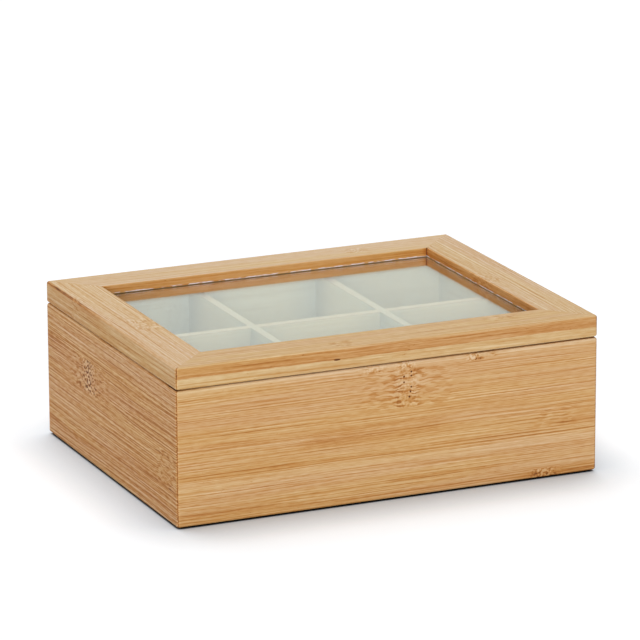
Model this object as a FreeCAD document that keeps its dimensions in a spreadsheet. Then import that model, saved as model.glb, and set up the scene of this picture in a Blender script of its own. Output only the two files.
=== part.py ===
"""Tea bag organizer box: a bamboo box of six compartments with a hinged, glazed lid.

Frame: millimetres, +X to the right along the front, +Y to the back, +Z up.
The origin is the middle of the underside of the box.

The walls and the lid rails are mitred boards. Each is drawn with its outer face to the front (-Y)
and then turned about Z to its own side, so that one function serves all eight.
"""

import FreeCAD, Part

import math
import os

import Sketcher
from FreeCAD import Placement, Rotation, Vector

SIZES = {
    # Box
    "box_length": 220.0,
    "box_depth": 170.0,
    "box_height": 66.8,
    "wall_thickness": 8.0,
    "arris_radius": 1.2,  # outer edges along the top and bottom of the box and of the lid
    "corner_ease": 0.3,  # how much rounder the upright corners are than the other outer edges
    "inner_arris_radius": 0.4,
    "base_thickness": 3.0,
    "rabbet_width": 4.0,
    "base_clearance": 0.1,
    # Dividers
    "divider_thickness": 4.0,
    "divider_drop": 0.7,  # from the rim down to the top of the dividers
    "dado_depth": 2.0,
    "slip_clearance": 0.1,  # each side of a divider in a dado or a notch
    # Lid
    "seam_gap": 0.5,
    "lid_thickness": 10.7,
    "rail_width": 21.6,
    "pane_thickness": 2.0,
    "pane_drop": 4.7,  # from the top of the lid down to the pane
    "pane_groove_depth": 4.0,
    "pane_edge_clearance": 0.4,
    "pane_play": 0.4,  # above the pane in its groove
    # Hinges
    "hinge_inset": 38.0,  # from the end of the box to the middle of a hinge
    "hinge_length": 25.0,
    "leaf_thickness": 1.6,
    "leaf_land": 2.0,  # wood left between the leaf and the inner face of the wall
    "leaf_proud": 0.2,  # how far a leaf stands out of the wood, so that it takes the stop
    "mortise_clearance": 0.1,
    "pin_radius": 0.8,
    "pin_clearance": 0.05,
    "pin_overhang": 0.3,  # beyond the knuckles at each end
    "knuckle_wall": 1.05,
    "knuckle_clearance": 0.2,
    "knuckle_end_gap": 0.1,
    "opening_angle": 100.0,
    "stop_clearance": 0.03,
    # Screws
    "screw_spacing": 15.0,  # between the two screws of one leaf
    "screw_radius": 0.9,
    "screw_head_radius": 1.7,
    "screw_length": 7.0,
    "screw_point_length": 1.5,
    "screw_clearance": 0.05,
    "slot_width": 0.5,
    "slot_depth": 0.4,
}

KNUCKLES = 3  # in one hinge: the even ones belong to the box leaf, the odd ones to the lid leaf
COUNTERSINK_ANGLE = 90.0

doc = FreeCAD.newDocument("TeaBox")


def size_sheet():
    """The driving dimensions, one alias to a row."""
    sheet = doc.addObject("Spreadsheet::Sheet", "Sizes")
    for row, (alias, number) in enumerate(SIZES.items(), start=1):
        sheet.set(f"A{row}", alias)
        sheet.set(f"B{row}", str(number))
        sheet.setAlias(f"B{row}", alias)
    doc.recompute()
    return sheet


sheet = size_sheet()


def size(name):
    """Expression for one driving dimension."""
    return f"Sizes.{name}"


def value(expression):
    """What an expression of driving dimensions comes to."""
    return float(sheet.evalExpression(expression))


# Heights
LID_UNDERSIDE = "(Sizes.box_height + Sizes.seam_gap)"
DIVIDER_TOP = "(Sizes.box_height - Sizes.divider_drop)"
LAP_LEVEL = "((Sizes.base_thickness + Sizes.box_height - Sizes.divider_drop) / 2)"
PANE_TOP = "(Sizes.lid_thickness - Sizes.pane_drop)"  # above the underside of the lid
PANE_UNDERSIDE = "(Sizes.lid_thickness - Sizes.pane_drop - Sizes.pane_thickness)"

# Plan
HALF_LENGTH = "(Sizes.box_length / 2)"
HALF_DEPTH = "(Sizes.box_depth / 2)"
CORNER_RADIUS = "(Sizes.arris_radius + Sizes.corner_ease)"
INNER_LENGTH = "(Sizes.box_length - 2 * Sizes.wall_thickness)"
INNER_DEPTH = "(Sizes.box_depth - 2 * Sizes.wall_thickness)"
CROSS_DIVIDER_X = f"(({INNER_LENGTH} + Sizes.divider_thickness) / 6)"  # makes three equal cells
SLOT_HALF_WIDTH = "(Sizes.divider_thickness / 2 + Sizes.slip_clearance)"

# Hinges, measured from the middle of the pin
KNUCKLE_RADIUS = "(Sizes.pin_radius + Sizes.pin_clearance + Sizes.knuckle_wall)"
LEAF_EDGE = f"({KNUCKLE_RADIUS} + Sizes.knuckle_clearance)"
PIN_BEHIND_WALL = f"({LEAF_EDGE} + Sizes.leaf_proud)"
LEAF_REACH = f"({PIN_BEHIND_WALL} + Sizes.wall_thickness - Sizes.leaf_land)"
SCREW_OFFSET = f"(({LEAF_REACH} + {LEAF_EDGE}) / 2)"
HINGE_X = f"({HALF_LENGTH} - Sizes.hinge_inset)"
HINGE_Y = f"({HALF_DEPTH} + {PIN_BEHIND_WALL})"
HINGE_Z = "(Sizes.box_height + Sizes.seam_gap / 2)"
KNUCKLE_LENGTH = f"(Sizes.hinge_length / {KNUCKLES})"
SCREW_HOLE_RADIUS = "(Sizes.screw_radius + Sizes.screw_clearance)"
PILOT_DEPTH = "(Sizes.screw_length + Sizes.screw_clearance)"


def sketch_on(body, name, role, offset=None):
    """Empty sketch on one of the body's own origin planes, moved out along its normal."""
    plane = next(feature for feature in body.Origin.OriginFeatures if feature.Role == role)
    sketch = body.newObject("Sketcher::SketchObject", name)
    sketch.AttachmentSupport = (plane, [""])
    sketch.MapMode = "FlatFace"
    if offset:
        sketch.setExpression("AttachmentOffset.Base.z", offset)
    return sketch


def drive(sketch, kind, geometry, point, expression):
    """Ties one coordinate of a point to an expression, measured from the sketch's origin."""
    constraint = Sketcher.Constraint(kind, -1, 1, geometry, point, value(expression))
    index = sketch.addConstraint(constraint)
    sketch.setExpression(f"Constraints[{index}]", expression)


def polygon(sketch, corners):
    """Closed outline of straight lines, each corner given by two expressions."""
    points = [Vector(value(x), value(y), 0) for x, y in corners]
    lines = []
    for start, end in zip(points, points[1:] + points[:1]):
        lines.append(sketch.addGeometry(Part.LineSegment(start, end), False))
    for line, following in zip(lines, lines[1:] + lines[:1]):
        sketch.addConstraint(Sketcher.Constraint("Coincident", line, 2, following, 1))
    for line, (x, y) in zip(lines, corners):
        drive(sketch, "DistanceX", line, 1, x)
        drive(sketch, "DistanceY", line, 1, y)


def rectangle(sketch, left, right, low, high):
    """Rectangle between four expressions."""
    polygon(sketch, [(left, low), (right, low), (right, high), (left, high)])


def circle(sketch, x, y, radius):
    """Circle whose middle and radius are expressions."""
    middle = Vector(value(x), value(y), 0)
    index = sketch.addGeometry(Part.Circle(middle, Vector(0, 0, 1), value(radius)), False)
    drive(sketch, "DistanceX", index, 3, x)
    drive(sketch, "DistanceY", index, 3, y)
    constraint = sketch.addConstraint(Sketcher.Constraint("Radius", index, value(radius)))
    sketch.setExpression(f"Constraints[{constraint}]", radius)


def new_body(name):
    """Empty body labelled with its node's name."""
    body = doc.addObject("PartDesign::Body", name)
    body.Label = name
    return body


def pad(body, sketch, length, centred=False):
    """Adds the sketch's area, drawn out along its normal."""
    feature = body.newObject("PartDesign::Pad", f"{sketch.Name}_pad")
    feature.Profile = sketch
    feature.setExpression("Length", length)
    feature.Midplane = centred
    return feature


def pocket(body, sketch, depth=None, upwards=False):
    """Cuts the sketch's area to a depth below or above it, or right through both ways."""
    feature = body.newObject("PartDesign::Pocket", f"{sketch.Name}_pocket")
    feature.Profile = sketch
    if depth:
        feature.setExpression("Length", depth)
        feature.Reversed = upwards
    else:
        feature.Type = "ThroughAll"
        feature.Midplane = True
    return feature


def fillet(body, name, base, edges, radius):
    """Rounds those edges of the base feature that the test picks."""
    doc.recompute()
    picked = []
    for number, edge in enumerate(base.Shape.Edges, start=1):
        if edges(edge):
            picked.append(f"Edge{number}")
    feature = body.newObject("PartDesign::Fillet", name)
    feature.Base = (base, picked)
    feature.setExpression("Radius", radius)
    return feature


def is_level(edge):
    """True for an edge that keeps one height."""
    return edge.BoundBox.ZLength < 1e-6


def close(number, other):
    """True for two lengths that are the same."""
    return abs(number - other) < 1e-4


def mitred_board(name, half_length, offset, width, height):
    """Mitred board with its outer face at y = -offset, and half a rounded corner at each end.

    Its outline is made of the outer face, two eighths of a circle, two mitres and the inner face.
    """
    body = new_body(name)
    sketch = sketch_on(body, f"{name}_plan", "XY_Plane")
    diagonal = math.sqrt(0.5)
    straight = f"({half_length} - {CORNER_RADIUS})"
    mitre_x = f"({straight} + {CORNER_RADIUS} * {diagonal})"
    mitre_y = f"(-{offset} + {CORNER_RADIUS} * (1 - {diagonal}))"
    inner_x = f"({half_length} - {width})"
    inner_y = f"(-{offset} + {width})"
    centre_y = f"(-{offset} + {CORNER_RADIUS})"

    outer = [Vector(side * value(straight), -value(offset), 0) for side in (-1, 1)]
    mitre = [Vector(side * value(mitre_x), value(mitre_y), 0) for side in (-1, 1)]
    inner = [Vector(side * value(inner_x), value(inner_y), 0) for side in (-1, 1)]
    centre = [Vector(side * value(straight), value(centre_y), 0) for side in (-1, 1)]
    upright = Vector(0, 0, 1)
    rounds = [Part.Circle(point, upright, value(CORNER_RADIUS)) for point in centre]
    quarter = math.pi / 4

    outline = [
        Part.LineSegment(outer[0], outer[1]),
        Part.ArcOfCircle(rounds[1], -2 * quarter, -quarter),
        Part.LineSegment(mitre[1], inner[1]),
        Part.LineSegment(inner[1], inner[0]),
        Part.LineSegment(inner[0], mitre[0]),
        Part.ArcOfCircle(rounds[0], -3 * quarter, -2 * quarter),
    ]
    face, right_arc, right_mitre, back, left_mitre, left_arc = sketch.addGeometry(outline, False)
    for line, line_end, following, start in (
        (face, 2, right_arc, 1),
        (right_arc, 2, right_mitre, 1),
        (right_mitre, 2, back, 1),
        (back, 2, left_mitre, 1),
        (left_mitre, 2, left_arc, 1),
        (left_arc, 2, face, 1),
    ):
        sketch.addConstraint(Sketcher.Constraint("Coincident", line, line_end, following, start))
    for point, sign in ((1, "-"), (2, "")):
        drive(sketch, "DistanceX", face, point, f"{sign}{straight}")
        drive(sketch, "DistanceY", face, point, f"-{offset}")
    for point, sign in ((1, ""), (2, "-")):
        drive(sketch, "DistanceX", back, point, f"{sign}{inner_x}")
        drive(sketch, "DistanceY", back, point, inner_y)
    for arc, mitre_point, sign in ((right_arc, 2, ""), (left_arc, 1, "-")):
        drive(sketch, "DistanceX", arc, 3, f"{sign}{straight}")
        drive(sketch, "DistanceY", arc, 3, centre_y)
        drive(sketch, "DistanceX", arc, mitre_point, f"{sign}{mitre_x}")

    blank = pad(body, sketch, height)

    def is_outer(edge):
        middle = edge.valueAt((edge.FirstParameter + edge.LastParameter) / 2)
        return is_level(edge) and (
            close(middle.y, -value(offset)) or isinstance(edge.Curve, Part.Circle)
        )

    def is_inner_top(edge):
        middle = edge.valueAt((edge.FirstParameter + edge.LastParameter) / 2)
        return is_level(edge) and close(middle.y, value(inner_y)) and close(middle.z, value(height))

    outside = fillet(body, f"{name}_arris", blank, is_outer, size("arris_radius"))
    fillet(body, f"{name}_inner_arris", outside, is_inner_top, size("inner_arris_radius"))
    return body


def hinge_mortises(body, name, rim, upwards):
    """Two mortises for hinge leaves, and pilot holes for their screws, cut from the rim."""
    clearance = size("mortise_clearance")
    half = f"(Sizes.hinge_length / 2 + {clearance})"
    near = f"(-{HALF_DEPTH} + Sizes.wall_thickness - Sizes.leaf_land + {clearance})"
    beyond = f"(-{HALF_DEPTH} - Sizes.leaf_proud)"
    for side, sign in (("left", "-"), ("right", "")):
        middle = f"{sign}{HINGE_X}"
        mortise = sketch_on(body, f"{name}_{side}_mortise", "XY_Plane", rim)
        rectangle(mortise, f"{middle} - {half}", f"{middle} + {half}", beyond, near)
        pocket(body, mortise, size("leaf_thickness"), upwards)
        for end, step in (("inner", "-"), ("outer", "+")):
            hole = sketch_on(body, f"{name}_{side}_{end}_pilot", "XY_Plane", rim)
            x = f"{middle} {step} Sizes.screw_spacing / 2"
            y = f"(-{HINGE_Y} + {SCREW_OFFSET})"
            circle(hole, x, y, SCREW_HOLE_RADIUS)
            pocket(body, hole, PILOT_DEPTH, upwards)


def wall(name, half_length, offset, angle, dado_places, hinged=False):
    """Wall of the box: rabbet for the base, dados for the dividers, mortises if it is hinged."""
    body = mitred_board(name, half_length, offset, size("wall_thickness"), size("box_height"))
    inner_face = f"(-{offset} + Sizes.wall_thickness)"

    rabbet = sketch_on(body, f"{name}_rabbet", "YZ_Plane")
    rabbet_back = f"({inner_face} - Sizes.rabbet_width)"
    rectangle(rabbet, rabbet_back, inner_face, "0", size("base_thickness"))
    pocket(body, rabbet)

    for number, place in enumerate(dado_places, start=1):
        dado = sketch_on(body, f"{name}_dado_{number}", "XY_Plane")
        left = f"({place} - {SLOT_HALF_WIDTH})"
        right = f"({place} + {SLOT_HALF_WIDTH})"
        rectangle(dado, left, right, f"({inner_face} - Sizes.dado_depth)", inner_face)
        pocket(body, dado)

    if hinged:
        hinge_mortises(body, name, size("box_height"), upwards=False)
    body.Placement = Placement(Vector(), Rotation(Vector(0, 0, 1), angle))
    return body


def rail(name, half_length, offset, angle, hinged=False):
    """Rail of the lid: groove for the pane, mortises underneath if it is hinged."""
    body = mitred_board(name, half_length, offset, size("rail_width"), size("lid_thickness"))
    inner_face = f"(-{offset} + Sizes.rail_width)"

    groove = sketch_on(body, f"{name}_groove", "YZ_Plane")
    groove_bottom = f"({inner_face} - Sizes.pane_groove_depth)"
    rectangle(groove, groove_bottom, inner_face, PANE_UNDERSIDE, f"({PANE_TOP} + Sizes.pane_play)")
    pocket(body, groove)

    if hinged:
        hinge_mortises(body, name, "0", upwards=True)
    body.Placement = Placement(Vector(), Rotation(Vector(0, 0, 1), angle))
    body.setExpression("Placement.Base.z", LID_UNDERSIDE)
    return body


def block(name, length, depth, height, underside):
    """Plain board centred on the box, with its underside at a height."""
    board = doc.addObject("Part::Box", name)
    board.Label = name
    board.setExpression("Length", length)
    board.setExpression("Width", depth)
    board.setExpression("Height", height)
    board.setExpression("Placement.Base.x", f"-({length}) / 2")
    board.setExpression("Placement.Base.y", f"-({depth}) / 2")
    board.setExpression("Placement.Base.z", underside)
    return board


def base_panel():
    """Base board, flush with the underside of the walls."""
    margin = "2 * (Sizes.rabbet_width - Sizes.base_clearance)"
    length = f"({INNER_LENGTH} + {margin})"
    depth = f"({INNER_DEPTH} + {margin})"
    return block("base_panel", length, depth, size("base_thickness"), "0")


def window_pane():
    """Clear pane that lies on the lower side of the groove in the lid rails."""
    overlap = "2 * (Sizes.pane_groove_depth - Sizes.pane_edge_clearance - Sizes.rail_width)"
    length = f"(Sizes.box_length + {overlap})"
    depth = f"(Sizes.box_depth + {overlap})"
    underside = f"({LID_UNDERSIDE} + {PANE_UNDERSIDE})"
    return block("window_pane", length, depth, size("pane_thickness"), underside)


def divider(name, plane, inner_span, notches, notched_from_above):
    """Divider drawn in its own plane as a strip with notches cut halfway in from one edge."""
    body = new_body(name)
    half = f"({inner_span} / 2 + Sizes.dado_depth - Sizes.slip_clearance)"
    outline = sketch_on(body, f"{name}_outline", plane)
    rectangle(outline, f"-{half}", half, size("base_thickness"), DIVIDER_TOP)
    pad(body, outline, size("divider_thickness"), centred=True)
    for number, place in enumerate(notches, start=1):
        notch = sketch_on(body, f"{name}_notch_{number}", plane)
        left = f"({place} - {SLOT_HALF_WIDTH})"
        right = f"({place} + {SLOT_HALF_WIDTH})"
        if notched_from_above:
            rectangle(notch, left, right, f"({LAP_LEVEL} - Sizes.slip_clearance)", DIVIDER_TOP)
        else:
            rectangle(notch, left, right, size("base_thickness"), LAP_LEVEL)
        pocket(body, notch)
    return body


def dividers():
    """Grid of one long divider and two cross dividers, halved together where they meet."""
    crossings = [f"-{CROSS_DIVIDER_X}", CROSS_DIVIDER_X]
    divider("long_divider", "XZ_Plane", INNER_LENGTH, crossings, notched_from_above=True)
    for side, x in zip(("left", "right"), crossings):
        name = f"cross_divider_{side}"
        cross = divider(name, "YZ_Plane", INNER_DEPTH, ["0"], notched_from_above=False)
        cross.setExpression("Placement.Base.x", x)


def hinge_leaf(name, sign, own_knuckles, x):
    """Hinge leaf with its knuckles about the X axis; sign is -1 below the pin and +1 above it.

    The knuckles end in a square heel. At the opening angle the heel's face lies flat against
    the edge of the other leaf, which stops the lid.
    """
    body = new_body(name)
    near = f"{sign} * Sizes.seam_gap / 2"
    far = f"{sign} * (Sizes.seam_gap / 2 + Sizes.leaf_thickness)"
    low, high = (far, near) if sign < 0 else (near, far)

    plate = sketch_on(body, f"{name}_plate", "YZ_Plane")
    rectangle(plate, f"-{LEAF_REACH}", "0", low, high)
    pad(body, plate, size("hinge_length"), centred=True)

    barrel = sketch_on(body, f"{name}_barrel", "YZ_Plane")
    circle(barrel, "0", "0", KNUCKLE_RADIUS)
    pad(body, barrel, size("hinge_length"), centred=True)

    heel = sketch_on(body, f"{name}_heel", "YZ_Plane")
    heel_face = f"({LEAF_EDGE} - Sizes.stop_clearance)"
    if sign > 0:
        rectangle(heel, f"-{heel_face}", "0", f"-{KNUCKLE_RADIUS}", "0")
    else:
        rectangle(heel, f"-{heel_face}", "0", "0", KNUCKLE_RADIUS)
    heel.setExpression("AttachmentOffset.Rotation.Angle", f"{sign} * Sizes.opening_angle")
    pad(body, heel, size("hinge_length"), centred=True)

    for number in range(KNUCKLES):
        if number in own_knuckles:
            continue
        gap = sketch_on(body, f"{name}_gap_{number}", "XY_Plane")
        start = f"(-Sizes.hinge_length / 2 + {number} * {KNUCKLE_LENGTH} - Sizes.knuckle_end_gap)"
        end = f"(-Sizes.hinge_length / 2 + {number + 1} * {KNUCKLE_LENGTH} + Sizes.knuckle_end_gap)"
        rectangle(gap, start, end, f"-{LEAF_EDGE}", f"2 * {LEAF_EDGE}")
        pocket(body, gap)

    bore = sketch_on(body, f"{name}_bore", "YZ_Plane")
    circle(bore, "0", "0", "(Sizes.pin_radius + Sizes.pin_clearance)")
    pocket(body, bore)

    holes = sketch_on(body, f"{name}_holes", "XY_Plane", near)
    for sign_x in ("-", ""):
        circle(holes, f"{sign_x}Sizes.screw_spacing / 2", f"-{SCREW_OFFSET}", SCREW_HOLE_RADIUS)
    doc.recompute()
    countersink = body.newObject("PartDesign::Hole", f"{name}_countersink")
    countersink.Profile = holes
    doc.recompute()
    countersink.ThreadType = "None"
    countersink.DepthType = "ThroughAll"
    countersink.Reversed = sign > 0
    countersink.setExpression("Diameter", f"2 * {SCREW_HOLE_RADIUS}")
    countersink.HoleCutType = "Countersink"
    countersink.HoleCutCountersinkAngle = COUNTERSINK_ANGLE
    head = "2 * (Sizes.screw_head_radius + Sizes.screw_clearance)"
    countersink.setExpression("HoleCutDiameter", head)

    place(body, x, HINGE_Y, HINGE_Z)
    return body


def place(body, x, y, z):
    """Ties the body's position to three expressions."""
    body.setExpression("Placement.Base.x", x)
    body.setExpression("Placement.Base.y", y)
    body.setExpression("Placement.Base.z", z)


def hinge_pin(name, x):
    """Plain pin through all the knuckles, a little longer than the hinge."""
    body = new_body(name)
    half = "(Sizes.hinge_length / 2 + Sizes.pin_overhang)"
    profile = sketch_on(body, f"{name}_profile", "XY_Plane")
    rectangle(profile, f"-{half}", half, "0", size("pin_radius"))
    turned = body.newObject("PartDesign::Revolution", f"{name}_turned")
    turned.Profile = profile
    turned.ReferenceAxis = (profile, ["H_Axis"])
    turned.Angle = 360
    place(body, x, HINGE_Y, HINGE_Z)
    return body


def leaf_screws(name, height, upside_down):
    """Four countersunk screws of the two leaves on one side of the seam, heads at a height.

    They run in rows along the body's own +X, which points left once the body is upside down.
    """
    body = new_body(name)
    profile = sketch_on(body, f"{name}_profile", "XZ_Plane")
    shank = size("screw_radius")
    head = size("screw_head_radius")
    cone = "(Sizes.screw_head_radius - Sizes.screw_radius)"
    polygon(
        profile,
        [
            ("0", "0"),
            (head, "0"),
            (shank, f"-{cone}"),
            (shank, "-(Sizes.screw_length - Sizes.screw_point_length)"),
            ("0", "-Sizes.screw_length"),
        ],
    )
    turned = body.newObject("PartDesign::Revolution", f"{name}_turned")
    turned.Profile = profile
    turned.ReferenceAxis = (profile, ["V_Axis"])
    turned.Angle = 360

    slot = sketch_on(body, f"{name}_slot", "XY_Plane")
    half = "(Sizes.slot_width / 2)"
    rectangle(slot, f"-{half}", half, f"-{head}", head)
    cut = pocket(body, slot, size("slot_depth"))
    doc.recompute()

    rows = body.newObject("PartDesign::MultiTransform", f"{name}_rows")
    rows.Originals = [turned, cut]
    steps = []
    for row, length in (("leaf", size("screw_spacing")), ("pair", f"2 * {HINGE_X}")):
        pattern = body.newObject("PartDesign::LinearPattern", f"{name}_{row}")
        pattern.Direction = (slot, ["H_Axis"])
        pattern.setExpression("Length", length)
        pattern.Occurrences = 2
        steps.append(pattern)
    rows.Transformations = steps
    body.Tip = rows
    first = f"({HINGE_X} + Sizes.screw_spacing / 2)"
    if upside_down:
        body.Placement = Placement(Vector(), Rotation(Vector(0, 1, 0), 180))
    place(body, first if upside_down else f"-{first}", f"({HINGE_Y} - {SCREW_OFFSET})", height)
    return body


def hinges():
    """Two stop hinges: interleaved knuckles on a pin, one leaf in the rim and one in the lid."""
    evens = range(0, KNUCKLES, 2)
    odds = range(1, KNUCKLES, 2)
    for side, sign in (("left", "-"), ("right", "")):
        x = f"{sign}{HINGE_X}"
        hinge_leaf(f"hinge_{side}_box_leaf", -1, evens, x)
        hinge_leaf(f"hinge_{side}_lid_leaf", 1, odds, x)
        hinge_pin(f"hinge_{side}_pin", x)
    leaf_screws("box_leaf_screws", size("box_height"), upside_down=False)
    leaf_screws("lid_leaf_screws", LID_UNDERSIDE, upside_down=True)


def walls():
    """Four walls, each turned from the front to its own side."""
    crossings = [f"-{CROSS_DIVIDER_X}", CROSS_DIVIDER_X]
    wall("front_panel", HALF_LENGTH, HALF_DEPTH, 0, crossings)
    wall("right_panel", HALF_DEPTH, HALF_LENGTH, 90, ["0"])
    wall("back_panel", HALF_LENGTH, HALF_DEPTH, 180, crossings, hinged=True)
    wall("left_panel", HALF_DEPTH, HALF_LENGTH, 270, ["0"])


def lid_frame():
    """Four rails, each turned from the front to its own side."""
    rail("lid_front_rail", HALF_LENGTH, HALF_DEPTH, 0)
    rail("lid_right_rail", HALF_DEPTH, HALF_LENGTH, 90)
    rail("lid_back_rail", HALF_LENGTH, HALF_DEPTH, 180, hinged=True)
    rail("lid_left_rail", HALF_DEPTH, HALF_LENGTH, 270)


def sub_parts():
    """The pieces of the box, in the order in which they were made."""
    kinds = ("PartDesign::Body", "Part::Box")
    return [piece for piece in doc.Objects if piece.TypeId in kinds]


def check():
    """Stops if a feature failed or a piece is not a sound solid."""
    for item in doc.Objects:
        if "Invalid" in item.State or "Error" in item.State:
            raise RuntimeError(f"{item.Name} failed: {item.State}")
    for piece in sub_parts():
        if piece.Shape.isNull() or not piece.Shape.isValid() or not piece.Shape.Solids:
            raise RuntimeError(f"{piece.Label} is not a sound solid")


def write():
    """One STEP file for each piece."""
    os.makedirs("parts", exist_ok=True)
    for piece in sub_parts():
        piece.Shape.exportStep(f"parts/{piece.Label}.step")
        print(f"{piece.Label}: {len(piece.Shape.Solids)} solid(s), {piece.Shape.Volume:.1f} mm3")


walls()
base_panel()
dividers()
lid_frame()
window_pane()
hinges()
doc.recompute()
check()
write()
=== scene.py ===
"""Looks of the tea bag organizer box: bamboo, glass and steel, with a floor, lamps and the camera.

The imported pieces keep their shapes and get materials. Sizes and places on the pieces are in
millimetres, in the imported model's frame; everything else is in metres.
"""

import math

import bmesh
import bpy
from mathutils import Matrix, Vector

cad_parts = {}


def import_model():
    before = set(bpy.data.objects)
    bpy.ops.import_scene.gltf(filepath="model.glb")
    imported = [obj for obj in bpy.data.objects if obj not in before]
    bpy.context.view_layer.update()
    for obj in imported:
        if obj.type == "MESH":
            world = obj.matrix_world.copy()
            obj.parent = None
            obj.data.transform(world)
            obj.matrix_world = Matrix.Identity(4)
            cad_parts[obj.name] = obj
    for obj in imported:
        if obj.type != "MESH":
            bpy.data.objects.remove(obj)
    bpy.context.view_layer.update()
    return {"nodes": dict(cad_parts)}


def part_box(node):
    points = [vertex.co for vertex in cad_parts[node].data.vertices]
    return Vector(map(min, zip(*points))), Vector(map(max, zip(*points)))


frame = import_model()
nodes = frame["nodes"]

MM = 1000.0
WHITE = (1.0, 1.0, 1.0)
BLACK = (0.0, 0.0, 0.0)

# The front wall ends in the middle of the rounded corners, so the side wall gives the length.
side_low, side_high = (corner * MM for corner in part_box("right_panel"))
rail_low, rail_high = (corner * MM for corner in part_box("lid_front_rail"))
divider_low, divider_high = (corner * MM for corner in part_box("cross_divider_right"))
HALF_LENGTH = side_high.x
HALF_DEPTH = -rail_low.y
WALL = side_high.x - side_low.x
WALL_TOP = side_high.z
SEAM = (side_high.z + rail_low.z) / 2
RAIL = rail_high.y - rail_low.y
LID_TOP = rail_high.z
PANE_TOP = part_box("window_pane")[1].z * MM
CROSS_DIVIDER = (divider_low.x + divider_high.x) / 2


class Shader:
    """Nodes of a new material or world, added one call at a time; each call gives an output socket."""

    def __init__(self, owner):
        owner.use_nodes = True
        self.owner = owner
        self.tree = owner.node_tree
        self.tree.nodes.clear()

    def add(self, kind, inputs=(), output=0, **settings):
        """Adds a node whose inputs are other nodes' sockets or constants."""
        node = self.tree.nodes.new("ShaderNode" + kind)
        for name, value in settings.items():
            setattr(node, name, value)
        for key, value in dict(inputs).items():
            socket = node.inputs[key]
            if isinstance(value, bpy.types.NodeSocket):
                self.tree.links.new(value, socket)
            else:
                socket.default_value = value
        return node.outputs[output]

    def finish(self, surface, kind="Material"):
        end = self.tree.nodes.new("ShaderNodeOutput" + kind)
        self.tree.links.new(surface, end.inputs["Surface"])
        return self.owner

    def math(self, operation, *values):
        return self.add("Math", enumerate(values), operation=operation)

    def plus(self, first, *others):
        for other in others:
            first = self.math("ADD", first, other)
        return first

    def times(self, first, *others):
        for other in others:
            first = self.math("MULTIPLY", first, other)
        return first

    def away(self, value, centre):
        """How far the value is from the centre."""
        return self.math("ABSOLUTE", self.plus(value, -centre))

    def less(self, first, second):
        return self.plus(first, self.times(second, -1.0))

    def step(self, value, low, high):
        """0 at low and 1 at high, smooth between them; low may be the larger."""
        inputs = {"Value": value, "From Min": low, "From Max": high}
        return self.add("MapRange", inputs, interpolation_type="SMOOTHSTEP")

    def within(self, value, limit, soft):
        """1 up to the limit, 0 from a soft edge beyond it."""
        return self.step(value, limit + soft, limit)

    def bell(self, value, centre, width):
        """1 at the centre, about a third one width away, 0 far off."""
        off = self.math("DIVIDE", self.math("SUBTRACT", value, centre), width)
        return self.math("EXPONENT", self.times(off, off, -1.0))

    def ramp(self, value, stops, interpolation="LINEAR"):
        """Colours, or greys given as one number, at places from 0 to 1."""
        colour = self.add("ValToRGB", {"Fac": value})
        ramp = colour.node.color_ramp
        ramp.interpolation = interpolation
        for index, (place, shade) in enumerate(stops):
            stop = ramp.elements[index] if index < 2 else ramp.elements.new(place)
            stop.position = place
            stop.color = (*shade, 1.0) if isinstance(shade, tuple) else (shade, shade, shade, 1.0)
        return colour

    def bands(self, value, bands):
        """The shade of the band that the value is in. bands: (start, end, shade), end to end."""
        low, high = bands[0][0], bands[-1][1]
        level = self.add("MapRange", {"Value": value, "From Min": low, "From Max": high})
        # A ramp holds no negative shade, so each is raised by a half here and lowered after it.
        stops = [((start - low) / (high - low), 0.5 + shade) for start, _, shade in bands]
        return self.plus(self.ramp(level, stops, "CONSTANT"), -0.5)

    def tint(self, factor, first, second, blend="MIX"):
        """The first colour, blended with the second as far as the factor goes."""
        first, second = ((*c, 1.0) if isinstance(c, tuple) else c for c in (first, second))
        inputs = {0: factor, 6: first, 7: second}
        return self.add("Mix", inputs, output=2, data_type="RGBA", blend_type=blend)

    def wash(self, factor, colour, hue):
        """The colour, multiplied by the hue as far as the factor goes."""
        return self.tint(factor, colour, hue, "MULTIPLY")

    def axes(self):
        """Place on the piece along X, Y and Z, in millimetres."""
        place = self.add("TexCoord", output=3)
        scaled = self.add("VectorMath", {0: place, "Scale": MM}, operation="SCALE")
        return self.add("SeparateXYZ", {0: scaled}).node.outputs

    def vector(self, *values):
        return self.add("CombineXYZ", enumerate(values))

    def noise(self, place, sizes, seed, detail=1.0, roughness=0.5):
        """Noise whose spots have these sizes along the place's three axes, about 0.2 to 0.8."""
        inputs = {0: place, 1: [1.0 / size for size in sizes], 2: [seed, seed * 1.7, seed * 0.6]}
        stretched = self.add("VectorMath", inputs, operation="MULTIPLY_ADD")
        inputs = {"Vector": stretched, "Scale": 1.0, "Detail": detail, "Roughness": roughness}
        return self.add("TexNoise", inputs)

    def seen(self):
        """1 for a ray that shows its target, also by reflection or through glass; 0 for one that lights."""
        rays = self.add("LightPath").node.outputs
        direct = self.math("MAXIMUM", rays["Is Camera Ray"], rays["Is Glossy Ray"])
        return self.math("MAXIMUM", direct, rays["Is Transmission Ray"])


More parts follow.
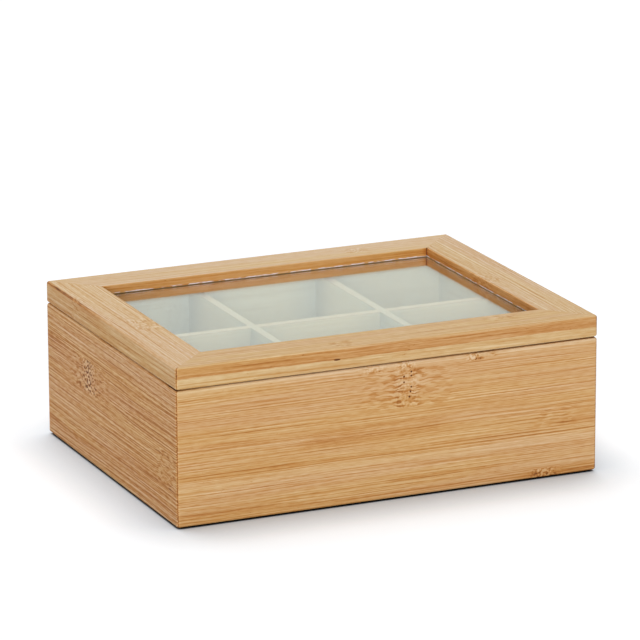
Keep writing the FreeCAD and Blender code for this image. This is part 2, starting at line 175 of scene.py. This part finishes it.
# Colour of lacquered and of sanded bamboo for a tone from 0, pale, to 1, dark.
LACQUERED = [
    (0.0, (0.74, 0.54, 0.32)),
    (0.25, (0.645, 0.413, 0.202)),
    (0.45, (0.585, 0.325, 0.125)),
    (0.65, (0.50, 0.228, 0.064)),
    (0.82, (0.385, 0.148, 0.037)),
    (1.0, (0.13, 0.045, 0.016)),
]
SANDED = [
    (0.0, (0.93, 0.86, 0.64)),
    (0.3, (0.88, 0.79, 0.56)),
    (0.5, (0.82, 0.72, 0.48)),
    (0.75, (0.70, 0.59, 0.36)),
    (1.0, (0.45, 0.36, 0.2)),
]
COOL_WOOD = (1.0, 0.985, 1.02)
WARM_WOOD = (1.0, 0.985, 0.90)
PLAIN_TONE = 0.36
DARKEST_GRAIN = 0.8

# Each pattern's spots: (size along the grain, across it, into the board), seed, detail, roughness.
PATTERNS = {
    "wave": ((110, 18, 30), 3.1, 1.0, 0.5),
    "broad": ((190, 8, 12), 0.0, 2.0, 0.6),
    "hair": ((5, 0.6, 0.6), 51, 1.0, 0.6),
    "pore": ((2.2, 0.55, 0.9), 59, 1.0, 0.5),
    "patch": ((45, 8, 8), 67, 1.0, 0.5),
    "dash": ((5.0, 1.05, 1.05), 79, 0.0, 0.5),
    "fleck": ((1.2, 1.5, 1.5), 83, 0.6, 0.5),
    "hue": ((120, 9, 12), 91, 1.0, 0.5),
}
SWIRL = (4.5, 3.0, 3.0)
SWIRL_BEND = 2.6
GRAIN_BEND = 3.0
STREAK_BEND = 2.0

# Layers of fibres: (length, width, seed, pale below, dark above, strength).
FIBRES = [
    (130, 1.3, 11, 0.36, 0.64, 0.09),
    (85, 0.8, 23, 0.4, 0.6, 0.19),
    (48, 1.0, 43, 0.42, 0.58, 0.12),
]
FIBRE_EDGE = 0.5
STREAK_LENGTH = 110
STREAK_FADE_IN = 6
STREAK_FADE_OUT = 12

GLUE_SHADE = 0.4
GLUE_LINE = 0.3
HOLE_SHADE = 0.9
PINHOLE = 0.62
CORNER = 1.8
ARRIS = 1.2
SEAM_EDGE = 0.3
# Painted shade, and below 0 painted highlight, on the seam's edges on the sides along X and along Y: the
# plain shade, what it gains from one place towards another, as (from, to, gain), and about a place, as
# (centre, reach, gain).
PAINTED_SEAM_SHADES = {
    "X": {"plain": -0.35, "towards": [(-45, 70, 0.85), (-90, -106, 0.75)], "about": []},
    "Y": {"plain": -0.3, "towards": [(-62, -80, 1.1)], "about": [(2.0, 16.0, 0.5)]},
}


class Bamboo(Shader):
    """Laminated bamboo of one board: the tone of its grain, and what all the boards share.

    order names the board's axes along the grain, across it and into it. Along these axes,
    strips are (start, end, shade) across the board, knots are (centre, level, reach, height,
    flecks, dashes), lines are (level, start, end, width, shade) and dots are (centre, level).
    """

    def __init__(
        self, name, order, seed, shade=0.0, contrast=1.0, scale=1.0, strips=(), knots=(), lines=(), dots=()
    ):
        super().__init__(bpy.data.materials.new(name))
        self.seed, self.contrast, self.scale = seed, contrast, scale
        self.at = self.axes()
        self.along, self.across, self.depth = (self.at[axis] for axis in order)
        self.place = self.vector(self.along, self.across, self.depth)
        self.measure_edges(order)
        self.bend_grain(knots)

        tone = self.plus(PLAIN_TONE + shade, self.fibres(bool(knots)), self.hairs(), self.pores())
        if strips:
            tone = self.plus(tone, self.bands(self.across, strips))
        for line in lines:
            tone = self.plus(tone, self.streak(*line))
        tone = self.math("MINIMUM", tone, DARKEST_GRAIN)
        if knots:
            tone = self.plus(tone, self.dashes(), self.flecks())
        for centre, level in dots:
            along, across = self.plus(self.along, -centre), self.plus(self.across, -level)
            tone = self.plus(tone, self.hole(along, across, PINHOLE, PINHOLE, core=0.565))
        self.tone = tone

    def measure_edges(self, order):
        """How far a place is in from the box's ends, its long faces and this board's outside, and
        how far from the mitres."""
        self.lengthwise = order[0] == "X"
        self.from_ends = self.less(HALF_LENGTH, self.math("ABSOLUTE", self.at["X"]))
        self.from_faces = self.less(HALF_DEPTH, self.math("ABSOLUTE", self.at["Y"]))
        self.from_outside = self.from_faces if self.lengthwise else self.from_ends
        self.from_mitre = self.math("ABSOLUTE", self.less(self.from_faces, self.from_ends))

    def pattern(self, kind, place):
        sizes, offset, detail, roughness = PATTERNS[kind]
        return self.noise(place, sizes, self.seed + offset, detail, roughness)

    def bend_grain(self, knots):
        """Bends the grain, which waves slightly and swirls round the knots, and marks the knots."""
        self.wave = self.plus(self.pattern("wave", self.place), -0.5)
        bent = self.plus(self.across, self.times(self.wave, GRAIN_BEND))
        self.knotted, self.flanks = 0.0, 0.0
        for centre, level, reach, height, flecks, dashes in knots:
            inside = self.within(self.away(self.across, level), height * 0.85, height * 0.15)
            near = self.times(self.bell(self.along, centre, reach), inside, flecks)
            flank = self.bell(self.away(self.along, centre), reach * 0.7, reach * 0.6)
            flank = self.times(flank, inside, dashes)
            swirl = self.plus(self.noise(self.place, SWIRL, self.seed + centre), -0.5)
            bent = self.plus(bent, self.times(self.plus(near, flank), swirl, SWIRL_BEND))
            self.knotted = self.plus(self.knotted, near)
            self.flanks = self.plus(self.flanks, flank)
        self.grain = self.vector(self.along, bent, self.depth)
        self.beside = self.vector(self.along, self.plus(bent, FIBRE_EDGE), self.depth)
        self.hair = self.pattern("hair", self.grain)
        self.ragged = self.times(self.plus(self.hair, -0.5), 1.2)

    def fibres(self, knotty):
        """Fine lines along the grain, fainter in a knot.

        Each layer loses most of its own copy from half a millimetre beside it, which takes its
        broad bands away and leaves the edges of its fibres crisp.
        """
        plain = 1.0
        if knotty:
            covered = self.math("MINIMUM", self.plus(self.knotted, self.flanks), 1.0)
            plain = self.plus(1.0, self.times(covered, -0.7))
        tone = self.times(self.plus(self.pattern("broad", self.grain), -0.5), 0.11)
        for reach, width, offset, low, high, strength in FIBRES:
            sizes = (reach, width * self.scale, width * self.scale)
            here = self.step(self.noise(self.grain, sizes, self.seed + offset), low, high)
            there = self.step(self.noise(self.beside, sizes, self.seed + offset), low, high)
            fibre = self.plus(here, self.times(there, -0.7), -0.15)
            tone = self.plus(tone, self.times(fibre, plain, strength * self.contrast))
        single = self.noise(self.grain, (STREAK_LENGTH, self.scale, self.scale), self.seed + 37)
        dark = self.times(self.step(single, 0.60, 0.66), plain, 0.2 * self.contrast)
        pale = self.times(self.step(single, 0.40, 0.34), plain, -0.13 * self.contrast)
        return self.plus(tone, dark, pale)

    def hairs(self):
        """Short hairs along the grain."""
        return self.times(self.plus(self.hair, -0.5), 0.5 * self.contrast)

    def pores(self):
        """Short dark pores, in patches."""
        pore = self.step(self.pattern("pore", self.place), 0.68, 0.78)
        patch = self.step(self.pattern("patch", self.grain), 0.5, 0.68)
        return self.times(pore, patch, 0.25)

    def streak(self, level, start, end, width, shade):
        """One streak along the grain, which drifts with it and fades at both ends."""
        starts = self.step(self.along, start - STREAK_FADE_OUT, start + STREAK_FADE_IN)
        ends = self.step(self.along, end + STREAK_FADE_OUT, end - STREAK_FADE_IN)
        drifting = self.plus(self.across, self.times(self.wave, STREAK_BEND))
        return self.times(self.bell(drifting, level, width), starts, ends, shade)

    def dashes(self):
        """Dark and pale dashes on the flanks of the knots."""
        dash = self.pattern("dash", self.grain)
        dark = self.times(self.step(dash, 0.51, 0.58), self.flanks, 0.28)
        return self.plus(dark, self.times(self.step(dash, 0.49, 0.42), self.flanks, -0.12))

    def flecks(self):
        """Dark and pale flecks in the middle of the knots."""
        fleck = self.pattern("fleck", self.place)
        dark = self.times(self.step(fleck, 0.51, 0.57), self.knotted, 0.34)
        return self.plus(dark, self.times(self.step(fleck, 0.49, 0.42), self.knotted, -0.30))

    def hole(self, along, up, reach, height, core):
        """A dark hole with these half sizes, darkest in its core, which is a share of them."""
        spot = self.vector(self.times(along, 1.0 / reach), self.times(up, 1.0 / height), 0.0)
        size = self.add("VectorMath", {0: spot}, output=1, operation="LENGTH")
        return self.times(self.step(size, 1.0, core), HOLE_SHADE)

    def corner_glue(self):
        """The glue line of the mitres on the upright corners."""
        corner = self.within(self.math("MAXIMUM", self.from_ends, self.from_faces), CORNER, 0.4)
        return self.times(self.within(self.from_mitre, GLUE_LINE, 0.25), corner, GLUE_SHADE)

    def painted_seam_shade(self):
        """Painted shade and highlight on the outer edges of the seam under the lid: dark in some places,
        pale in others.
        """
        seam = PAINTED_SEAM_SHADES["X" if self.lengthwise else "Y"]
        shade = seam["plain"]
        for start, end, gain in seam["towards"]:
            shade = self.plus(shade, self.times(self.step(self.along, start, end), gain))
        for centre, reach, gain in seam["about"]:
            shade = self.plus(shade, self.times(self.bell(self.along, centre, reach), gain))
        edge = self.within(self.away(self.at["Z"], SEAM), SEAM_EDGE, 0.15)
        return self.times(edge, self.within(self.from_outside, ARRIS, 0.8), shade)

    def lacquered(self, tone):
        """The lacquered wood's colour, slightly warmer in some places than in others."""
        hue = self.step(self.pattern("hue", self.grain), 0.35, 0.65)
        return self.wash(1.0, self.ramp(tone, LACQUERED), self.tint(hue, WARM_WOOD, COOL_WOOD))

    def board(self, tone, colour):
        """The finished material, whose dark grain lies slightly deeper and is less glossy."""
        height = self.plus(self.times(self.hair, 0.6), self.times(tone, -0.7))
        bump = self.add("Bump", {"Strength": 0.35, "Distance": 0.00006, "Height": height})
        gloss = self.plus(0.42, self.times(self.hair, 0.2), self.times(tone, 0.1))
        inputs = {"Base Color": colour, "Roughness": gloss, "Specular IOR Level": 0.15, "Normal": bump}
        return self.finish(self.add("BsdfPrincipled", inputs))


# Painted shade in the corners of the compartments: its colour and how far it reaches.
CORNER_SHADE_PAINT = (0.37, 0.405, 0.39)
CORNER_SHADE_REACH = 13.0
LONG_DIVIDER_TOP = [(0.70, 0.56, 0.37), (0.60, 0.46, 0.28)]
CROSS_DIVIDER_TOP = [(0.665, 0.527, 0.333), (0.57, 0.432, 0.252)]


def wall(name, order, seed, tint=WHITE, corner_shade=0.35, inner_hue_and_painted_light=WHITE, **grain):
    """A board of the box: lacquered outside and on its rim, pale and sanded in the compartments.

    nook is how far the corners of the compartments are shaded.
    """
    s = Bamboo(name, order, seed, **grain)
    z = s.at["Z"]
    # Painted highlights: a pale line just under the rim and another on its arris, where the edge faces up
    # into the light.
    painted_rim_highlight = s.times(s.bell(s.plus(z, s.ragged), WALL_TOP - 0.9, 0.7), -0.12)
    painted_arris_highlight = s.times(s.bell(z, WALL_TOP - 0.5, 0.35), -0.16)
    tone = s.plus(s.tone, s.corner_glue(), s.painted_seam_shade(), painted_rim_highlight, painted_arris_highlight)

    if s.lengthwise:
        tops = LONG_DIVIDER_TOP
        painted_corners = s.bell(s.math("ABSOLUTE", s.at["X"]), CROSS_DIVIDER, CORNER_SHADE_REACH)
    else:
        tops = CROSS_DIVIDER_TOP
        by_wall = s.bell(s.from_faces, WALL, CORNER_SHADE_REACH)
        painted_corners = s.plus(by_wall, s.bell(s.from_faces, HALF_DEPTH, CORNER_SHADE_REACH))
    # Painted shade: the corners of the compartments are darkened towards a cool grey-green.
    pale = s.tint(s.times(painted_corners, corner_shade), s.ramp(tone, SANDED), CORNER_SHADE_PAINT)
    pale = s.tint(s.step(z, WALL_TOP - 1.2, WALL_TOP - 0.9), pale, s.tint(tone, *tops))
    # Each board's inner hue is partly a real hue and partly painted light and shade: it makes its inner
    # faces lighter or darker as the light falls on them.
    pale = s.wash(1.0, pale, inner_hue_and_painted_light)

    past_ends = s.step(s.from_ends, WALL - 0.6, WALL - 0.2)
    past_faces = s.step(s.from_faces, WALL - 0.6, WALL - 0.2)
    outside = s.wash(1.0, s.lacquered(tone), tint)
    return s.board(tone, s.tint(s.times(past_ends, past_faces), outside, pale))


LOW_PLY_TOP = 72.5
# Specks of glue on the rails reach this far above the pane.
SPECK_LINE = 0.85
SPECKS = (0.88, 0.80, 0.84)
# Painted light: a pale grey-violet in the groove round the pane, which lightens the shade in it.
GROOVE_PAINTED_LIGHT = (0.80, 0.72, 0.74)
# Hues of a rail's face on the window below and above the pane, and of the lowest ply outside: below the
# pane a painted light, paler and cooler, and above it a warmer amber, partly the ply's own colour and
# partly painted bounced light.
LONG_RAIL_HUES_AND_LIGHT = {"below": (1.25, 1.06, 1.43), "above": (1.06, 0.945, 0.74), "low_ply": (0.96, 0.98, 0.88)}
SIDE_RAIL_HUES_AND_LIGHT = {"below": (1.44, 1.19, 1.40), "above": (1.17, 0.99, 0.75), "low_ply": (0.98, 0.975, 0.95)}


def rail(name, order, seed, plies, tint=WHITE, hollows=(), **grain):
    """A rail of the lid's frame, whose face on the window has one hue below the pane and one above, both
    partly painted light.

    plies are (start, end, shade) up its outer face, tint is a paler hue on its top that paints its sheen
    and light, and hollows are (centre, level, half length, half height) of dark holes in its upright faces.
    """
    s = Bamboo(name, order, seed, **grain)
    z = s.at["Z"]
    outer = s.within(s.from_outside, 0.5, 0.5)
    from_window = s.less(RAIL, s.from_outside)
    inner = s.within(from_window, 0.25, 0.25)

    tone = s.plus(s.tone, s.corner_glue(), s.painted_seam_shade())
    for centre, level, reach, height in hollows:
        tone = s.plus(tone, s.hole(s.plus(s.along, -centre), s.plus(z, -level), reach, height, core=0.6))
    # The faces on the window are darker all over, partly because a darker ply shows there and partly as
    # painted shade, and have painted shade in their corners by the mitres.
    joint = s.times(s.within(s.from_mitre, 0.1, 0.15), 0.08)
    inner_joint = s.times(s.within(s.from_mitre, 0.15, 0.2), inner, GLUE_SHADE)
    corner_shadow = s.times(s.within(s.from_mitre, 0.2, 2.8), inner, 0.22)
    layers = s.times(s.bands(s.plus(z, s.times(s.ragged, 0.3)), plies), outer)
    tone = s.plus(tone, joint, inner_joint, corner_shadow, layers, s.times(inner, 0.14))
    if not s.lengthwise:
        arris = s.within(s.less(s.plus(s.from_outside, LID_TOP), z), 0.9, 0.25)
        tone = s.plus(tone, s.times(arris, s.step(s.at["Y"], 0, 50), 0.32))

    hues_and_light = LONG_RAIL_HUES_AND_LIGHT if s.lengthwise else SIDE_RAIL_HUES_AND_LIGHT
    # Painted sheen and light: the tint makes the top of the rail paler and less saturated.
    colour = s.wash(s.step(z, LID_TOP - 0.8, LID_TOP - 0.2), s.lacquered(tone), tint)
    # Painted light on the face on the window: paler and cooler below the pane, warmer above it.
    reveal_painted_light = s.tint(s.step(z, PANE_TOP - 0.4, PANE_TOP), hues_and_light["below"], hues_and_light["above"])
    colour = s.wash(inner, colour, reveal_painted_light)
    on_pane = s.times(s.step(z, PANE_TOP, PANE_TOP + 0.1), inner)
    line = s.within(s.plus(z, s.times(s.ragged, 0.8)), PANE_TOP + SPECK_LINE, 0.25)
    colour = s.tint(s.times(on_pane, line, s.step(s.hair, 0.42, 0.52)), colour, SPECKS)
    # Painted light in the groove round the pane, above and below its top.
    behind = s.times(s.step(from_window, 0.05, 0.15), s.within(from_window, 4.0, 1.0))
    groove_painted_light = s.times(behind, s.within(s.away(z, PANE_TOP), 0.6, 0.6))
    colour = s.tint(groove_painted_light, colour, GROOVE_PAINTED_LIGHT)
    low_ply = s.times(s.within(z, LOW_PLY_TOP - 0.1, 0.2), outer)
    return s.board(tone, s.wash(low_ply, colour, hues_and_light["low_ply"]))


def glass(name):
    """Clear, slightly hazed glass that throws almost no shadow."""
    s = Shader(bpy.data.materials.new(name))
    haze = s.noise(s.vector(*s.axes()), (22, 22, 22), 4.0, detail=3.0)
    rough = s.plus(0.02, s.times(haze, 0.05))
    clear = s.add("BsdfGlass", {"Color": (0.932, 0.985, 0.98, 1), "Roughness": rough, "IOR": 1.5})
    rays = s.add("LightPath").node.outputs
    lighting = s.math("MAXIMUM", rays["Is Shadow Ray"], rays["Is Diffuse Ray"])
    through = s.add("BsdfTransparent", {"Color": (0.95, 0.97, 0.96, 1)})
    return s.finish(s.add("MixShader", {0: lighting, 1: clear, 2: through}))


def steel(name, seed):
    """Nickel-plated steel, brushed along the hinge."""
    s = Shader(bpy.data.materials.new(name))
    place = s.vector(*s.axes())
    brushed = s.noise(place, (9, 0.12, 0.12), seed, detail=3.0)
    cloud = s.noise(place, (4, 4, 4), seed + 9, detail=2.0)
    mixed = s.plus(s.times(brushed, 0.5), s.times(cloud, 0.5))
    colour = s.ramp(mixed, [(0.3, (0.5, 0.47, 0.42)), (0.7, (0.72, 0.69, 0.63))])
    gloss = s.plus(0.2, s.times(brushed, 0.25), s.times(cloud, 0.1))
    bump = s.add("Bump", {"Strength": 0.3, "Distance": 0.00002, "Height": brushed})
    inputs = {"Base Color": colour, "Metallic": 1.0, "Roughness": gloss, "Normal": bump}
    return s.finish(s.add("BsdfPrincipled", inputs))


def wear(node, material):
    for slot in nodes[node].material_slots:
        slot.material = material


# The look of each board: order and the marks as in Bamboo, the rest as in wall or rail.
FRONT_WALL = {
    "order": "XZY",
    "seed": 1.3,
    "contrast": 0.86,
    "scale": 0.78,
    "strips": [(0, 4.7, 0.12), (4.7, 22.5, 0.0), (22.5, 44, 0.03), (44, 64.1, 0.02), (64.1, 68, -0.12)],
    "knots": [
        (8.6, 54, 6, 10.2, 0.38, 1.0),
        (8.6, 54, 20, 10.2, 0.0, 0.6),
        (43.5, 65.5, 3, 2.2, 1.1, 0.4),
        (50, 65.5, 4, 2.2, 0.1, 1.1),
        (-9, 65.2, 5, 2.2, 0.5, 0.9),
        (8, 65.6, 4, 2, 1.0, 0.6),
        (82, 2.2, 6, 2.6, 0.8, 0.7),
        (88, 30, 10, 5, 0.0, 0.5),
    ],
    "lines": [
        (22.3, -110, 110, 0.35, 0.3),
        (24.2, 30, 75, 0.4, 0.22),
        (23.9, -110, -50, 0.8, 0.16),
        (44.0, -110, -60, 0.35, 0.2),
        (38, -93, -70, 0.5, 0.15),
        (34, -42, 28, 2.6, 0.19),
        (37.2, -42, 28, 0.4, 0.15),
        (31.2, -42, 28, 0.4, 0.15),
        (26.5, 88, 110, 0.6, 0.25),
        (33, 86, 110, 0.5, 0.15),
        (15, 22, 110, 0.8, 0.12),
        (8.8, 5, 58, 0.5, 0.18),
        (5.6, -110, -60, 0.45, 0.32),
        (18.8, -110, 110, 2.0, -0.1),
        (1.5, 72, 110, 1.6, 0.18),
        (65.4, 47, 53, 1.2, 0.2),
        (29, -60, 110, 0.35, 0.12),
        (12, -110, 20, 0.35, 0.12),
    ],
    "dots": [(10.7, 61.9), (10.7, 59.9), (6.9, 59.9), (6.9, 57.0), (10.7, 54.4), (10.3, 52.1), (9.7, 49.6)],
}
LEFT_WALL = {
    "order": "YZX",
    "seed": 5.9,
    "contrast": 1.75,
    "scale": 0.95,
    "tint": (0.985, 0.915, 0.86),
    "strips": [(0, 15, 0.09), (15, 33.7, 0.03), (33.7, 52.5, 0.07), (52.5, 68, 0.02)],
    "knots": [(28, 43.5, 7.5, 9, 1.35, 0.2), (28, 43.5, 20, 9, 0.3, 0.8), (-71, 25, 9, 9.2, 0.15, 1.0)],
    "lines": [
        (52.4, 60, 85, 0.45, 0.25),
        (52.4, -5, 24, 0.4, 0.25),
        (34.3, 38, 58, 0.4, 0.25),
        (34.3, -4, 10, 0.4, 0.25),
        (24.6, -10, -4, 0.6, 0.35),
        (18.4, -25, -17, 0.5, 0.35),
        (16.3, -85, -48, 0.35, 0.25),
        (16.6, 56, 85, 0.4, 0.25),
        (49, -24, -10, 0.6, 0.25),
        (66.3, -85, -24, 0.5, 0.18),
        (66.2, 38, 85, 0.8, 0.2),
        (53.7, -85, -42, 0.5, 0.2),
        (61, -85, -34, 0.5, 0.2),
        (44, -85, -14, 0.45, 0.2),
        (39.5, -85, -24, 0.4, 0.18),
        (9, 24, 46, 0.5, 0.2),
        (6, -56, 6, 0.5, 0.2),
        (27.5, -36, 16, 0.4, 0.2),
    ],
}
BACK_WALL = {
    "order": "XZY",
    "seed": 9.1,
    "shade": 0.04,
    "corner_shade": 0.5,
    "inner_hue_and_painted_light": (0.92, 0.90, 0.94),
    "strips": [(0, 19, 0.03), (19, 41, -0.03), (41, 60, 0.04), (60, 68, -0.04)],
    "knots": [(-41, 50, 8, 9, 0.5, 0.9), (62, 30, 8, 10, 0.4, 0.8)],
}
RIGHT_WALL = {
    "order": "YZX",
    "seed": 13.7,
    "contrast": 1.2,
    "inner_hue_and_painted_light": (1.07, 1.05, 1.03),
    "strips": [(0, 12, 0.02), (12, 31, -0.02), (31, 50, 0.04), (50, 68, 0.0)],
    "knots": [(12, 21, 8, 9, 0.6, 0.9)],
}
BASE = {"order": "XYZ", "seed": 17.2, "contrast": 0.7}
LONG_DIVIDER = {"order": "XZY", "seed": 21.4, "contrast": 0.7, "inner_hue_and_painted_light": (1.09, 0.985, 0.91)}
CROSS = {"order": "YZX", "shade": -0.05, "contrast": 0.6, "corner_shade": 0.5, "inner_hue_and_painted_light": (1.02, 0.99, 0.99)}
WALLS = {
    "front_panel": ("bamboo_front", FRONT_WALL),
    "left_panel": ("bamboo_left", LEFT_WALL),
    "back_panel": ("bamboo_back", BACK_WALL),
    "right_panel": ("bamboo_right", RIGHT_WALL),
    "base_panel": ("bamboo_base", BASE),
    "long_divider": ("bamboo_long_divider", LONG_DIVIDER),
    "cross_divider_left": ("bamboo_cross_divider_left", {"seed": 25.6, **CROSS}),
    "cross_divider_right": ("bamboo_cross_divider_right", {"seed": 29.8, **CROSS}),
}

LONG_PLIES = [
    (67.3, LOW_PLY_TOP, -0.14),
    (LOW_PLY_TOP, 73.2, 0.21),
    (73.2, 74.6, 0.165),
    (74.6, 75.1, 0.2),
    (75.1, 76.4, 0.16),
    (76.4, 76.8, 0.19),
    (76.8, 77.4, 0.14),
    (77.4, 78, -0.02),
]
SIDE_PLIES = [(67.3, 72.4, 0.04), (72.4, 72.9, 0.22), (72.9, 78, 0.05)]
# The rails' tints are painted sheen and light on their tops, and differ because each top catches the light
# in its own way.
FRONT_RAIL = {
    "order": "XYZ",
    "seed": 33.3,
    "shade": -0.02,
    "contrast": 0.8,
    "tint": (0.98, 1.07, 1.16),
    "plies": LONG_PLIES,
    "knots": [(-22.8, -79, 4.5, 5, 0.3, 0.8), (66, -69, 6, 4, 0.2, 0.9)],
    "hollows": [(-27.9, 72.4, 2.0, 0.55)],
}
LEFT_RAIL = {
    "order": "YXZ",
    "seed": 37.5,
    "shade": -0.05,
    "contrast": 0.95,
    "tint": (1.02, 1.15, 1.43),
    "plies": SIDE_PLIES,
    "knots": [(-8, -95, 9, 7, 0.4, 0.8), (45, -110, 4, 4, 0.3, 0.6)],
}
BACK_RAIL = {
    "order": "XYZ",
    "seed": 41.9,
    "shade": -0.06,
    "contrast": 0.6,
    "tint": (1.03, 1.19, 1.48),
    "plies": LONG_PLIES,
    "knots": [(53, 74, 5, 5, 0.3, 0.6)],
}
RIGHT_RAIL = {
    "order": "YXZ",
    "seed": 45.1,
    "shade": -0.06,
    "contrast": 0.8,
    "tint": (0.98, 1.10, 1.33),
    "plies": SIDE_PLIES,
    "knots": [(0, 91.5, 9, 5, 0.3, 0.6)],
}
RAILS = {
    "lid_front_rail": ("bamboo_front_rail", FRONT_RAIL),
    "lid_left_rail": ("bamboo_left_rail", LEFT_RAIL),
    "lid_back_rail": ("bamboo_back_rail", BACK_RAIL),
    "lid_right_rail": ("bamboo_right_rail", RIGHT_RAIL),
}


def dress_pieces():
    for node, (name, look) in WALLS.items():
        wear(node, wall(name, **look))
    for node, (name, look) in RAILS.items():
        wear(node, rail(name, **look))
    wear("window_pane", glass("pane_glass"))
    metal = sorted(node for node in nodes if node.startswith("hinge_") or node.endswith("screws"))
    for number, node in enumerate(metal):
        wear(node, steel(f"nickel_{node}", 2.0 + number))


FLOOR_DROP = 0.0009
FLOOR_HALF_WIDTH = 9.0
SHADOW_REACH = 0.035
FLOOR_GLOW = 0.40
# Bluer paper where the sky is partly hidden, which paints out the warm light that the bamboo throws there.
SHADED_PAPER = (0.66, 0.72, 0.785)
PAPER = (0.68, 0.70, 0.725)


def floor():
    """White paper just below the box, so that a dark line shows under its edges; near the box, painted
    shadow makes it bluer, then black, and dims its glow.
    """
    mesh = bpy.data.meshes.new("floor")
    grid = bmesh.new()
    bmesh.ops.create_grid(grid, x_segments=1, y_segments=1, size=FLOOR_HALF_WIDTH)
    grid.to_mesh(mesh)
    grid.free()
    sheet = bpy.data.objects.new("floor", mesh)
    sheet.location.z = -FLOOR_DROP
    bpy.context.scene.collection.objects.link(sheet)
    s = Shader(bpy.data.materials.new("floor_paper"))
    open_sky = s.add("AmbientOcclusion", {"Distance": SHADOW_REACH}, output=1, samples=16)
    paper = s.tint(s.step(open_sky, 0.6, 1.0), SHADED_PAPER, PAPER)
    # Painted shadow: the paper turns black where little of the sky is open, under the box's edges.
    diffuse = s.add("BsdfDiffuse", {"Color": s.tint(s.step(open_sky, 0.25, 0.5), BLACK, paper)})
    # Painted shadow: the glow fades near the box, as the sky closes in.
    glow = s.times(s.seen(), FLOOR_GLOW, s.math("POWER", open_sky, 1.9))
    light = s.add("Emission", {"Strength": glow})
    mesh.materials.append(s.finish(s.add("AddShader", {0: diffuse, 1: light})))


def sun(name, towards, level, width):
    """A wide soft lamp, seen in this direction, that lights a surface facing it to this level."""
    lamp = bpy.data.lights.new(name, "SUN")
    lamp.energy = level * math.pi
    lamp.angle = math.radians(width)
    holder = bpy.data.objects.new(name, lamp)
    holder.rotation_mode = "QUATERNION"
    holder.rotation_quaternion = Vector(towards).to_track_quat("Z", "Y")
    bpy.context.scene.collection.objects.link(holder)


SKY_LIGHT = 0.38


def world():
    """A white sky that lights the box with only part of the strength that it is seen with."""
    sky = bpy.data.worlds.new("studio")
    bpy.context.scene.world = sky
    s = Shader(sky)
    strength = s.add("MapRange", {"Value": s.seen(), "To Min": SKY_LIGHT, "To Max": 1.0})
    s.finish(s.add("Background", {"Color": (*WHITE, 1.0), "Strength": strength}), "World")


# The photograph's camera, fitted to the box's corners: angles in radians, focal length in pixels.
CAMERA_PLACE = (-0.890072, -2.012918, 0.690709)
YAW, PITCH, ROLL = 0.416738, 0.276274, -0.003399
FOCAL_LENGTH = 4670.455
PHOTO_WIDTH = 640.0
SENSOR_WIDTH = 36.0


def camera():
    """A long lens in front of the box and to its left, looking down."""
    forward = Vector((math.sin(YAW) * math.cos(PITCH), math.cos(YAW) * math.cos(PITCH), -math.sin(PITCH)))
    right = Vector((math.cos(YAW), -math.sin(YAW), 0.0))
    up = right.cross(forward)
    side = math.cos(ROLL) * right + math.sin(ROLL) * up
    top = math.cos(ROLL) * up - math.sin(ROLL) * right
    data = bpy.data.cameras.new("camera")
    data.lens = SENSOR_WIDTH * FOCAL_LENGTH / PHOTO_WIDTH
    data.sensor_width = SENSOR_WIDTH
    data.clip_end = 50.0
    holder = bpy.data.objects.new("camera", data)
    turn = Matrix((side, top, -forward)).transposed().to_4x4()
    holder.matrix_world = Matrix.Translation(CAMERA_PLACE) @ turn
    bpy.context.scene.collection.objects.link(holder)
    bpy.context.scene.camera = holder


dress_pieces()
floor()
world()
sun("overhead", towards=(0.03, 0.38, 1.0), level=0.48, width=46)
sun("fill", towards=(-0.36, -0.85, 0.21), level=0.57, width=30)
camera()
bpy.context.scene.view_settings.view_transform = "Standard"
